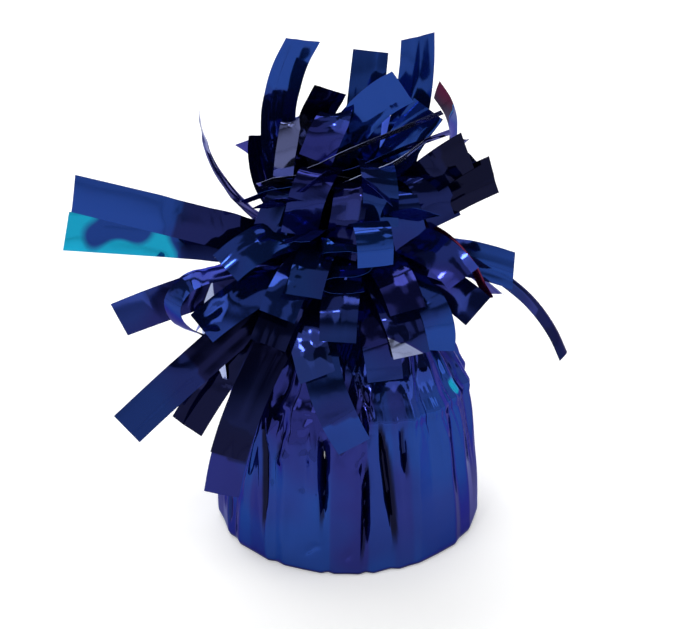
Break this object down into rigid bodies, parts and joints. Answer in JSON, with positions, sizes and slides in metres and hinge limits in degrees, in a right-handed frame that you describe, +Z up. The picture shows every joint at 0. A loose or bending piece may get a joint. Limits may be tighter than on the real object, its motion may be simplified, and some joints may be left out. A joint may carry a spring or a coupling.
{
  "type": "balloon weight",
  "caption": "Foil balloon weight: a plaster-filled cup in pleated blue metallised film, gathered and tied at the neck under a burst of slit film strips.",
  "frame": {"origin": "centre of the flat base, on the plane the weight stands on", "axes": "+Z up out of the base along the neck, -Y the side shown to the front, +X to the right when seen from the front"},
  "size_m": [0.1265, 0.0861, 0.1307],
  "materials": {
    "blue_film": "mirror-bright metallised polypropylene film, royal blue",
    "cup_plastic": "natural moulded polypropylene",
    "plaster": "cast plaster",
    "wire_coat": "plastic-coated tie wire"
  },
  "bodies": {
    "root": {"weight_cup": "cup_plastic", "plaster_fill": "plaster", "film_wrapper": "blue_film", "wire_tie": "wire_coat", "fringe_strip_01": "blue_film", "fringe_strip_02": "blue_film", "fringe_strip_03": "blue_film", "fringe_strip_04": "blue_film", "fringe_strip_05": "blue_film", "fringe_strip_06": "blue_film", "fringe_strip_07": "blue_film", "fringe_strip_08": "blue_film", "fringe_strip_09": "blue_film", "fringe_strip_10": "blue_film", "fringe_strip_11": "blue_film", "fringe_strip_12": "blue_film", "fringe_strip_13": "blue_film", "fringe_strip_14": "blue_film", "fringe_strip_15": "blue_film", "fringe_strip_16": "blue_film", "fringe_strip_17": "blue_film", "fringe_strip_18": "blue_film", "fringe_strip_19": "blue_film", "fringe_strip_20": "blue_film", "fringe_strip_21": "blue_film", "fringe_strip_22": "blue_film", "fringe_strip_23": "blue_film", "fringe_strip_24": "blue_film", "fringe_strip_25": "blue_film", "fringe_strip_26": "blue_film", "fringe_strip_27": "blue_film", "fringe_strip_28": "blue_film", "fringe_strip_29": "blue_film", "fringe_strip_30": "blue_film", "fringe_strip_31": "blue_film", "fringe_strip_32": "blue_film", "fringe_strip_33": "blue_film", "fringe_strip_34": "blue_film", "fringe_strip_35": "blue_film", "fringe_strip_36": "blue_film", "fringe_strip_37": "blue_film", "fringe_strip_38": "blue_film", "fringe_strip_39": "blue_film", "fringe_strip_40": "blue_film", "fringe_strip_41": "blue_film", "fringe_strip_42": "blue_film", "fringe_strip_43": "blue_film", "fringe_strip_44": "blue_film", "fringe_strip_45": "blue_film", "fringe_strip_46": "blue_film", "fringe_strip_47": "blue_film", "fringe_strip_48": "blue_film", "fringe_strip_49": "blue_film", "fringe_strip_50": "blue_film", "fringe_strip_51": "blue_film", "fringe_strip_52": "blue_film", "fringe_strip_53": "blue_film", "fringe_strip_54": "blue_film", "fringe_strip_55": "blue_film", "fringe_strip_56": "blue_film"}
  },
  "joints": []
}
